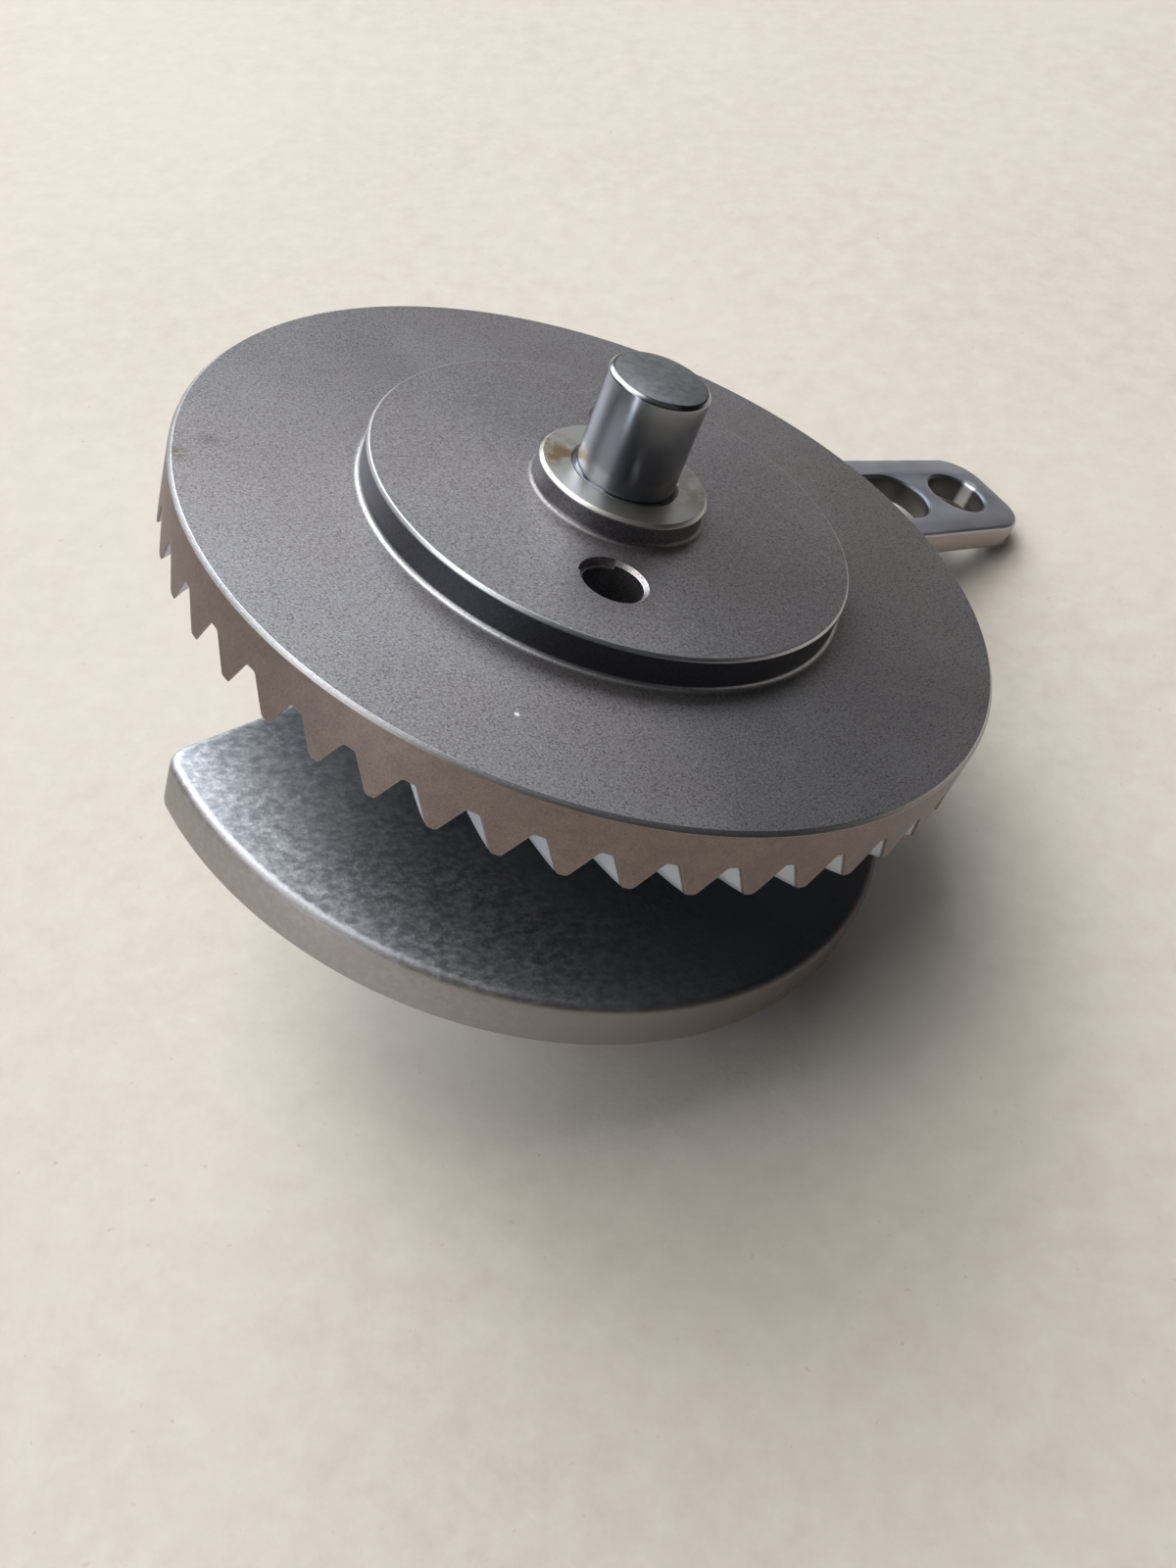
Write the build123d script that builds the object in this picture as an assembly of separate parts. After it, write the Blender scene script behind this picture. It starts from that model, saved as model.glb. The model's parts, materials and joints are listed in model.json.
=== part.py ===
from build123d import *
import math
import os

# Crank drive assembly of a reciprocating saw: a spiral-toothed crown gear with a stepped
# back, an eccentric crank pin, a counterweight plate and a connecting rod on needle rollers.
# Origin: centre of the collar's thrust face, on the arbor axis. +Z runs up the upper arbor,
# +Y points at the crank pin and +X runs along the connecting rod at mid stroke.

# ---- driving dimensions, mm ----
gear_radius = 40.0
tooth_count = 47
tooth_phase = -0.41
tooth_depth = 3.25
face_width = 9.0
spiral_angle = 40.0
tip_flat = 0.85
root_flat = 1.1
inner_depth_ratio = 0.8
tooth_station_step = 3.0
tooth_overrun = 0.6

collar_radius = 8.15
collar_height = 2.4
boss_radius = 23.45
boss_height = 3.4
rim_height = 7.2
web_thickness = 3.4
hub_radius = 26.0
hub_height = 3.2

rim_chamfer = 0.36
boss_chamfer = 0.2
collar_chamfer = 0.3
boss_fillet = 1.1
collar_fillet = 0.5
bore_chamfer = 0.25

hole_radius = 2.8
hole_chamfer = 0.3
hole_circle_radius = 14.2
hole_angle = 57.6
notch_reach = 0.45
notch_depth = 0.7
notch_turn = 178.0

upper_journal_radius = 9.525 / 2
upper_seat_radius = 5.0
upper_arbor_length = 10.0
lower_journal_radius = 6.0
lower_seat_radius = 6.35
lower_arbor_length = 12.2
pin_chamfer = 0.42

crank_radius = 15.875
crank_pin_radius = 9.525 / 2
crank_pin_depth = 7.6
sleeve_radius = 6.35
roller_radius = 1.5
roller_count = 12
roller_edge = 0.3
roller_end_room = 1.2
rolling_gap = 0.02
cup_wall = 1.15
cup_lip = 0.9
cup_lip_gap = 0.6
cage_inner_gap = 0.45
cage_outer_gap = 0.3
cage_end_room = 0.2
pocket_gap = 0.06
pocket_end_gap = 0.1
end_gap = 0.1
washer_thickness = 1.0
washer_radius = 11.5
washer_clearance = 0.05
spacer_radius = 8.35
spacer_height = 2.2

rod_length = 71.0
rod_hub_radius = 13.5
rod_hub_height = 12.0
rod_hub_chamfer = 0.5
rod_hub_drop = 2.6
rod_plate_thickness = 3.3
rod_end_half_width = 7.8
rod_root_half_width = 9.8
rod_end_reach = 7.4
rod_corner_radius = 5.0
eye_radius = 3.97
eye_chamfer = 0.4
window_width = 8.8
window_start = 24.0
window_web = 11.2
rod_edge = 0.5

counterweight_radius = 39.2
counterweight_thickness = 5.6
shoulder_reach = 36.9
shoulder_height = 1.6
shoulder_slope = 0.294
lobe_radius = 10.5
plate_corner = 3.0
lobe_fillet = 6.0
plate_edge = 0.8

# Cutters run this far past the faces they cut.
overrun = 1.0

# ---- levels along the arbor, worked out from the driving dimensions ----
boss_z = -collar_height
back_z = boss_z - boss_height
tip_z = back_z - rim_height
web_z = back_z - web_thickness
hub_z = web_z - hub_height
inner_radius = gear_radius - face_width

upper_washer_top = hub_z - end_gap
rod_top = upper_washer_top - washer_thickness - end_gap
rod_bottom = rod_top - rod_hub_height
lower_washer_top = rod_bottom - end_gap
spacer_top = lower_washer_top - washer_thickness - end_gap
plate_top = spacer_top - spacer_height
plate_bottom = plate_top - counterweight_thickness
plate_z = rod_top - rod_hub_drop

roller_circle = sleeve_radius + rolling_gap + roller_radius
cup_inner_radius = roller_circle + roller_radius + rolling_gap
cup_outer_radius = cup_inner_radius + cup_wall
roller_length = rod_hub_height - 2 * (cup_lip + roller_end_room)
cage_length = rod_hub_height - 2 * (cup_lip + cage_end_room)
rod_middle = (rod_top + rod_bottom) / 2


def tube(outer, inner, top, bottom, x=0.0, y=0.0):
    """A plain ring with its axis along Z."""
    ring = Circle(outer) - Circle(inner)
    return Pos(x, y, bottom) * extrude(ring, top - bottom)


def rod_bar(radius, top, bottom, x=0.0, y=0.0):
    """A plain round bar along Z."""
    return Pos(x, y, bottom) * extrude(Circle(radius), top - bottom)


def make_crank_pin():
    """A dowel with a small chamfer at both ends."""
    pin = rod_bar(crank_pin_radius, hub_z + crank_pin_depth, plate_bottom, 0, crank_radius)
    return chamfer(pin.edges().filter_by(GeomType.CIRCLE), pin_chamfer)


def make_arbor_pin(seat_radius, journal_radius, seat_top, seat_bottom, tip):
    """A ground journal up to the tip, on a larger seat for the press fit."""
    seat = rod_bar(seat_radius, seat_top, seat_bottom)
    journal = rod_bar(journal_radius, max(seat_top, tip), min(seat_bottom, tip))
    pin = seat + journal
    ends = pin.edges().filter_by(GeomType.CIRCLE).sort_by(Axis.Z)
    return chamfer([ends[0], ends[-1]], pin_chamfer)


def gear_blank():
    """The turned blank: stepped back, toothed rim still solid, recess and hub below."""
    outline = Polyline(
        (0, hub_z),
        (hub_radius, hub_z),
        (hub_radius, web_z),
        (inner_radius, web_z),
        (inner_radius, tip_z),
        (gear_radius, tip_z),
        (gear_radius, back_z - rim_chamfer),
        (gear_radius - rim_chamfer, back_z),
        (boss_radius, back_z),
        (boss_radius, boss_z - boss_chamfer),
        (boss_radius - boss_chamfer, boss_z),
        (collar_radius, boss_z),
        (collar_radius, -collar_chamfer),
        (collar_radius - collar_chamfer, 0),
        (0, 0),
        close=True,
    )
    face = make_face(outline)
    corners = face.vertices()
    boss_foot = corners.sort_by_distance((boss_radius, back_z, 0))[0]
    face = fillet(boss_foot, boss_fillet)
    corners = face.vertices()
    collar_foot = corners.sort_by_distance((collar_radius, boss_z, 0))[0]
    face = fillet(collar_foot, collar_fillet)
    return revolve(Plane.XZ * face, Axis.Z, 360)


def space_section(radius):
    """Cross-section of one tooth space at a given distance from the arbor axis."""
    share = (gear_radius - radius) / face_width
    scale = radius / gear_radius
    depth = tooth_depth * (1 - (1 - inner_depth_ratio) * share)
    floor_half = root_flat * scale / 2
    pitch = 2 * math.pi * radius / tooth_count
    mouth_half = (pitch - tip_flat * scale) / 2
    spread = (mouth_half - floor_half) / depth * tooth_overrun
    points = [
        (-floor_half, depth),
        (floor_half, depth),
        (mouth_half + spread, -tooth_overrun),
        (-mouth_half - spread, -tooth_overrun),
    ]
    twist = -math.degrees(math.tan(math.radians(spiral_angle)) * math.log(gear_radius / radius))
    seat = Plane(origin=(radius, 0, tip_z), x_dir=(0, 1, 0), z_dir=(1, 0, 0))
    return Rot(0, 0, twist) * (seat * make_face(Polyline(*points, close=True)))


def tooth_spaces():
    """All the spaces between the teeth, as cutters."""
    stations = [
        inner_radius - tooth_overrun,
        inner_radius + tooth_station_step,
        gear_radius - tooth_station_step,
        gear_radius + tooth_overrun,
    ]
    cutter = loft([space_section(radius) for radius in stations], ruled=True)
    pitch_angle = 360 / tooth_count
    first = tooth_phase + pitch_angle / 2
    return [Rot(0, 0, first + pitch_angle * index) * cutter for index in range(tooth_count)]


def through_hole(angle):
    """A hole through the boss and the hub, chamfered at the back."""
    hole = rod_bar(hole_radius, boss_z + overrun, hub_z - overrun)
    flare = Pos(0, 0, boss_z - hole_chamfer) * extrude(
        Circle(hole_radius), hole_chamfer * 2, taper=-45
    )
    return Rot(0, 0, angle) * (Pos(hole_circle_radius, 0, 0) * (hole + flare))


def hole_notch(angle):
    """A shallow step over a quarter of one hole's mouth."""
    ring = rod_bar(hole_radius + notch_reach, boss_z + overrun, boss_z - notch_depth)
    side = 4 * hole_radius
    corner = Rot(0, 0, notch_turn) * (Pos(side / 2, side / 2, boss_z) * Box(side, side, side))
    return Rot(0, 0, angle) * (Pos(hole_circle_radius, 0, 0) * (ring & corner))


def make_drive_gear():
    blank = gear_blank()
    arbor_bore = rod_bar(upper_seat_radius, overrun, hub_z - overrun)
    bore_mouth = Pos(0, 0, -bore_chamfer) * extrude(Circle(upper_seat_radius), overrun, taper=-45)
    crank_bore = rod_bar(crank_pin_radius, hub_z + crank_pin_depth, hub_z - overrun, 0, crank_radius)
    gear = blank - arbor_bore - bore_mouth - crank_bore
    gear = gear - through_hole(hole_angle) - through_hole(hole_angle + 180)
    gear = gear - hole_notch(hole_angle + 180)
    return gear - tooth_spaces()


def make_sleeve():
    """Hardened inner ring pressed on the crank pin, the rollers' inner track."""
    return tube(sleeve_radius, crank_pin_radius, hub_z, spacer_top, 0, crank_radius)


def make_washer(top):
    inner = sleeve_radius + washer_clearance
    return tube(washer_radius, inner, top, top - washer_thickness, 0, crank_radius)


def make_spacer():
    return tube(spacer_radius, crank_pin_radius, spacer_top, plate_top, 0, crank_radius)


def make_cup():
    """Drawn outer cup of the needle bearing, with a lip at each end."""
    shell = tube(cup_outer_radius, cup_inner_radius, rod_top, rod_bottom, 0, crank_radius)
    lip_inner = sleeve_radius + cup_lip_gap
    upper = tube(cup_inner_radius, lip_inner, rod_top, rod_top - cup_lip, 0, crank_radius)
    lower = tube(cup_inner_radius, lip_inner, rod_bottom + cup_lip, rod_bottom, 0, crank_radius)
    return shell + upper + lower


def make_cage():
    """Ring that spaces the rollers, one pocket each."""
    half = cage_length / 2
    inner = sleeve_radius + cage_inner_gap
    outer = cup_inner_radius - cage_outer_gap
    ring = tube(outer, inner, rod_middle + half, rod_middle - half, 0, crank_radius)
    pocket = Box(
        2 * (outer - inner),
        2 * (roller_radius + pocket_gap),
        roller_length + 2 * pocket_end_gap,
    )
    for index in range(roller_count):
        place = Pos(0, crank_radius, rod_middle) * Rot(0, 0, 360 / roller_count * index)
        ring = ring - place * (Pos(roller_circle, 0, 0) * pocket)
    return ring


def make_roller(index):
    angle = math.radians(360 / roller_count * index)
    x = roller_circle * math.cos(angle)
    y = crank_radius + roller_circle * math.sin(angle)
    half = roller_length / 2
    roller = rod_bar(roller_radius, rod_middle + half, rod_middle - half, x, y)
    return fillet(roller.edges().filter_by(GeomType.CIRCLE), roller_edge)


def rod_outline():
    """Tapered shank with a squared, well rounded small end."""
    side = (rod_root_half_width - rod_end_half_width) / rod_length
    tip_half = rod_end_half_width - side * rod_end_reach
    tip_x = rod_length + rod_end_reach
    points = [
        (0, -rod_root_half_width),
        (tip_x, -tip_half),
        (tip_x, tip_half),
        (0, rod_root_half_width),
    ]
    shank = make_face(Polyline(*points, close=True))
    corners = shank.vertices().sort_by(Axis.X)[-2:]
    return fillet(corners, rod_corner_radius)


def make_connecting_rod():
    plate = Pos(0, 0, plate_z - rod_plate_thickness) * extrude(rod_outline(), rod_plate_thickness)
    faces = plate.faces().sort_by(Axis.Z)
    outer_edges = [edge for edge in faces[0].edges() + faces[-1].edges() if edge.center().X > rod_edge]
    plate = fillet(outer_edges, rod_edge)
    hub = rod_bar(rod_hub_radius, rod_top, rod_bottom)
    hub = chamfer(hub.edges().filter_by(GeomType.CIRCLE), rod_hub_chamfer)
    body = plate + hub
    window_end = rod_length - window_web
    slot_length = window_end - window_start + window_width / 2
    slot_middle = window_start + slot_length / 2
    cut_bottom = plate_z - rod_plate_thickness - overrun
    cut_height = rod_plate_thickness + 2 * overrun
    window = Pos(slot_middle, 0, cut_bottom) * extrude(SlotOverall(slot_length, window_width), cut_height)
    eye = rod_bar(eye_radius, plate_z + overrun, cut_bottom, rod_length)
    flare = Pos(rod_length, 0, plate_z - eye_chamfer) * extrude(
        Circle(eye_radius), eye_chamfer * 2, taper=-45
    )
    bearing_bore = rod_bar(cup_outer_radius, rod_top + overrun, rod_bottom - overrun)
    return Pos(0, crank_radius, 0) * (body - window - eye - flare - bearing_bore)


def plate_outline():
    """Half disc whose shoulders rise to a lobe around the crank pin."""
    far = 2 * counterweight_radius
    lobe_side_y = shoulder_height + shoulder_slope * (shoulder_reach - lobe_radius)
    far_y = shoulder_height + shoulder_slope * (shoulder_reach - far)
    points = [
        (-far, far_y),
        (-lobe_radius, lobe_side_y),
        (-lobe_radius, crank_radius),
        (lobe_radius, crank_radius),
        (lobe_radius, lobe_side_y),
        (far, far_y),
        (far, -far),
        (-far, -far),
    ]
    sector = Circle(counterweight_radius) & make_face(Polyline(*points, close=True))
    outline = sector + Pos(0, crank_radius) * Circle(lobe_radius)
    outer = [corner for corner in outline.vertices() if abs(corner.X) > shoulder_reach]
    outline = fillet(outer, plate_corner)
    corners = outline.vertices()
    inner = [
        corners.sort_by_distance((side * lobe_radius, lobe_side_y, 0))[0]
        for side in (-1, 1)
    ]
    return fillet(inner, lobe_fillet)


def make_counterweight():
    plate = Pos(0, 0, plate_bottom) * extrude(plate_outline(), counterweight_thickness)
    faces = plate.faces().sort_by(Axis.Z)
    plate = fillet(faces[0].edges() + faces[-1].edges(), plate_edge)
    arbor_bore = rod_bar(lower_seat_radius, plate_top + overrun, plate_bottom - overrun)
    crank_bore = rod_bar(crank_pin_radius, plate_top + overrun, plate_bottom - overrun, 0, crank_radius)
    return plate - arbor_bore - crank_bore


parts = {
    "drive_gear": make_drive_gear(),
    "upper_arbor_pin": make_arbor_pin(
        upper_seat_radius, upper_journal_radius, 0, hub_z, upper_arbor_length
    ),
    "crank_pin": make_crank_pin(),
    "bearing_sleeve": make_sleeve(),
    "plate_spacer": make_spacer(),
    "counterweight": make_counterweight(),
    "lower_arbor_pin": make_arbor_pin(
        lower_seat_radius, lower_journal_radius, plate_top, plate_bottom, plate_bottom - lower_arbor_length
    ),
    "connecting_rod": make_connecting_rod(),
    "needle_bearing_cup": make_cup(),
    "needle_cage": make_cage(),
    "upper_thrust_washer": make_washer(upper_washer_top),
    "lower_thrust_washer": make_washer(lower_washer_top),
}
for index in range(roller_count):
    parts[f"needle_roller_{index + 1:02d}"] = make_roller(index)

os.makedirs("parts", exist_ok=True)
for name, shape in parts.items():
    export_step(shape, f"parts/{name}.step")
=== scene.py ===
import json
import math

import bmesh
import bpy
from mathutils import Matrix, Vector


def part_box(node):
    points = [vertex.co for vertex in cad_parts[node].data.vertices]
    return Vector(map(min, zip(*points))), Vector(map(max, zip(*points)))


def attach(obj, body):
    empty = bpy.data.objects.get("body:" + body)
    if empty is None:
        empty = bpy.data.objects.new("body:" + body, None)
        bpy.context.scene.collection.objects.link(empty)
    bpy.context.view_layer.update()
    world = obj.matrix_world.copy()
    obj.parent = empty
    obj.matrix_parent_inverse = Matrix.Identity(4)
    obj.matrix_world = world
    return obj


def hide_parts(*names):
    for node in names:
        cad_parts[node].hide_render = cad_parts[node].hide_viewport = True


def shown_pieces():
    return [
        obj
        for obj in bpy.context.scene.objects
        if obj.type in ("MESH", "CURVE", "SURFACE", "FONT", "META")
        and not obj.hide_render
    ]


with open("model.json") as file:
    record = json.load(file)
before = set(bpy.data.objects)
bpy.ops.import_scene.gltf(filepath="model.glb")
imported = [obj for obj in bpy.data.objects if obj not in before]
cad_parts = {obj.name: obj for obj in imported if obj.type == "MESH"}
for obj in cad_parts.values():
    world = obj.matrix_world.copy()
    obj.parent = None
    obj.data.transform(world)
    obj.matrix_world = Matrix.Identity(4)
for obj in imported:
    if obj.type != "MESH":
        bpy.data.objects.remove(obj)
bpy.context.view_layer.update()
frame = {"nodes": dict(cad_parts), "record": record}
nodes = frame["nodes"]
mounts = {mount["name"]: mount for mount in frame["record"]["mounts"]}
MM = 0.001

# ---- levels and centres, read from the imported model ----
gear_low, gear_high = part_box("drive_gear")
plate_low, plate_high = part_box("counterweight")
rod_low, rod_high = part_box("connecting_rod")
crank_low, crank_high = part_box("crank_pin")
crank_y = (crank_low.y + crank_high.y) / 2
eye = Vector(mounts["small_end_eye"]["pos_m"])
journal_radius = mounts["upper_journal"]["dims"]["r_mm"] * MM
eye_radius = mounts["small_end_eye"]["dims"]["r_mm"] * MM
hole_radius = mounts["puller_holes"]["dims"]["hole_r_mm"] * MM
hole_circle = mounts["puller_holes"]["dims"]["pcd_mm"] * MM / 2
gear_radius = gear_high.x
tip_z = gear_low.z
seat_radius = (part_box("upper_arbor_pin")[1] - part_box("upper_arbor_pin")[0]).x / 2
lower_seat_radius = (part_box("lower_arbor_pin")[1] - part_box("lower_arbor_pin")[0]).x / 2
lower_radius = mounts["lower_journal"]["dims"]["r_mm"] * MM

# ---- feature sizes, metres ----
TOOTH_COUNT = 47
TOOTH_PHASE = math.radians(-0.41)
TOOTH_DEPTH = 3.25 * MM
FACE_WIDTH = 9.0 * MM
SPIRAL = math.tan(math.radians(40))
TIP_SHARE = 0.0795
ROOT_SHARE = 0.103
INNER_DEPTH = 0.8
COLLAR_RADIUS = 8.15 * MM
COLLAR_HEIGHT = 2.4 * MM
BOSS_RADIUS = 23.45 * MM
BOSS_HEIGHT = 3.4 * MM
WEB = 3.4 * MM
HUB_RADIUS = 26.0 * MM
HUB_HEIGHT = 3.2 * MM
HOLE_ANGLE = math.radians(57.6)
NOTCH_TURN = math.radians(178)
NOTCH_DEPTH = 0.75 * MM
PLATE_RADIUS = 39.2 * MM
PLATE_EDGE = 0.9 * MM
ROD_HUB_RADIUS = 13.5 * MM
ROD_EDGE = 0.45 * MM
WASHER_BORE = 6.4 * MM
PIN_CHAMFER = 0.32 * MM
PIN_DOME = 0.16 * MM
ROD_STEP = 2.6 * MM
ROD_THICKNESS = 3.3 * MM
WINDOW_HALF = 4.4 * MM
WINDOW_START = 26.2 * MM
WINDOW_TO_EYE = 11.2 * MM
# Radius of the first ring of a solid turned piece and of a cutter, which closes over its axis.
CORE = 0.01 * MM
CUTTER_CORE = 0.02 * MM
# How far a cutter reaches past the face it cuts.
CUTTER_REACH = 1 * MM

# ---- marks in the finish, from the arbor axis, and the glint from the eye's centre ----
BRIGHT_NICK = Vector((-22.3, -22.8)) * MM
RUST_SPOT = Vector((-36.9, 13.0)) * MM
SMEAR = Vector((-33.4, 14.9)) * MM
OIL_STAIN = Vector((-6.0, 4.2)) * MM
COLLAR_HAZE = Vector((6.5, -3.0)) * MM
GLINT = Vector((4.2, 1.6)) * MM

boss_z = -COLLAR_HEIGHT
back_z = boss_z - BOSS_HEIGHT
web_z = back_z - WEB
hub_z = web_z - HUB_HEIGHT
shank_high = rod_high.z - ROD_STEP
shank_low = shank_high - ROD_THICKNESS
window_end = eye.x - WINDOW_TO_EYE


# ================= mesh tools =================

def rounded(points, steps=6):
    """Turns (x, y, radius) corners into a point list with each corner rounded to its radius."""
    out = []
    count = len(points)
    for index, (x, y, radius) in enumerate(points):
        here = Vector((x, y))
        if radius == 0:
            out.append(here)
            continue
        before = Vector(points[index - 1][:2]) - here
        after = Vector(points[(index + 1) % count][:2]) - here
        half = before.angle(after) / 2
        reach = radius / math.tan(half)
        middle = (before.normalized() + after.normalized()).normalized()
        centre = here + middle * radius / math.sin(half)
        start = here + before.normalized() * reach - centre
        turn = start.angle_signed(here + after.normalized() * reach - centre)
        for step in range(steps + 1):
            angle = -turn * step / steps
            cos, sin = math.cos(angle), math.sin(angle)
            out.append(centre + Vector((start.x * cos - start.y * sin, start.x * sin + start.y * cos)))
    return out


def new_object(name, mesh, sharp=32):
    """Links a mesh as an object, smooth except where faces meet at more than the sharp angle."""
    mesh.shade_smooth()
    mesh.set_sharp_from_angle(angle=math.radians(sharp))
    piece = bpy.data.objects.new(name, mesh)
    bpy.context.scene.collection.objects.link(piece)
    return piece


def mesh_from_rings(name, rings, closed=True, sharp=32):
    """Skins a list of equal rings of points; closed joins the last ring to the first."""
    mesh = bpy.data.meshes.new(name)
    size = len(rings[0])
    verts = [point for ring in rings for point in ring]
    faces = []
    for row in range(len(rings) if closed else len(rings) - 1):
        this, other = row * size, (row + 1) % len(rings) * size
        for col in range(size):
            nxt = (col + 1) % size
            faces.append((this + col, this + nxt, other + nxt, other + col))
    if not closed:
        faces.append(tuple(range(size))[::-1])
        faces.append(tuple(range((len(rings) - 1) * size, len(rings) * size)))
    mesh.from_pydata(verts, [], faces)
    bm = bmesh.new()
    bm.from_mesh(mesh)
    bmesh.ops.recalc_face_normals(bm, faces=bm.faces)
    bm.to_mesh(mesh)
    bm.free()
    return new_object(name, mesh, sharp)


def ring_at(radius, z, centre=(0, 0), segments=160):
    """One circle of points."""
    turn = 2 * math.pi / segments
    return [
        (centre[0] + radius * math.cos(turn * k), centre[1] + radius * math.sin(turn * k), z)
        for k in range(segments)
    ]


def lathe(name, outline, centre=(0, 0), segments=160, closed=True, sharp=32):
    """Turns a rounded (radius, z, corner) outline about a vertical line."""
    rings = [ring_at(point.x, point.y, centre, segments) for point in rounded(outline)]
    return mesh_from_rings(name, rings, closed, sharp)


def cut(piece, cutters, sharp=32):
    """Subtracts cutters from a piece and bakes the result into its mesh."""
    for cutter in cutters:
        step = piece.modifiers.new("cut", "BOOLEAN")
        step.operation = "DIFFERENCE"
        step.solver = "EXACT"
        step.object = cutter
    bpy.context.view_layer.update()
    result = bpy.data.meshes.new_from_object(piece.evaluated_get(bpy.context.evaluated_depsgraph_get()))
    piece.modifiers.clear()
    piece.data = result
    result.set_sharp_from_angle(angle=math.radians(sharp))
    for cutter in cutters:
        bpy.data.objects.remove(cutter)


def circle_points(centre, radius, count=96):
    """Points round a flat circle, for plate outlines."""
    turn = 2 * math.pi / count
    return [
        Vector((centre[0] + radius * math.cos(turn * k), centre[1] + radius * math.sin(turn * k)))
        for k in range(count)
    ]


def plate(name, outline, holes, low, high, edge, sharp=40):
    """A flat plate with rounded edges, cut to an outline with holes, from a filled 2D curve."""
    curve = bpy.data.curves.new(name, "CURVE")
    curve.dimensions = "2D"
    curve.fill_mode = "BOTH"
    for loop in [outline] + holes:
        spline = curve.splines.new("POLY")
        spline.points.add(len(loop) - 1)
        for point, place in zip(spline.points, loop):
            point.co = (place.x, place.y, 0, 1)
        spline.use_cyclic_u = True
    curve.extrude = (high - low) / 2 - edge
    curve.bevel_depth = edge
    curve.bevel_resolution = 3
    curve.offset = -edge
    holder = bpy.data.objects.new(name + "_curve", curve)
    bpy.context.scene.collection.objects.link(holder)
    bpy.context.view_layer.update()
    mesh = bpy.data.meshes.new_from_object(holder.evaluated_get(bpy.context.evaluated_depsgraph_get()))
    mesh.transform(Matrix.Translation((0, 0, (high + low) / 2)))
    bpy.data.objects.remove(holder)
    bm = bmesh.new()
    bm.from_mesh(mesh)
    bmesh.ops.remove_doubles(bm, verts=bm.verts, dist=1e-6)
    bmesh.ops.recalc_face_normals(bm, faces=bm.faces)
    bm.to_mesh(mesh)
    bm.free()
    mesh.name = name
    return new_object(name, mesh, sharp)


# ================= materials =================

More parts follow.
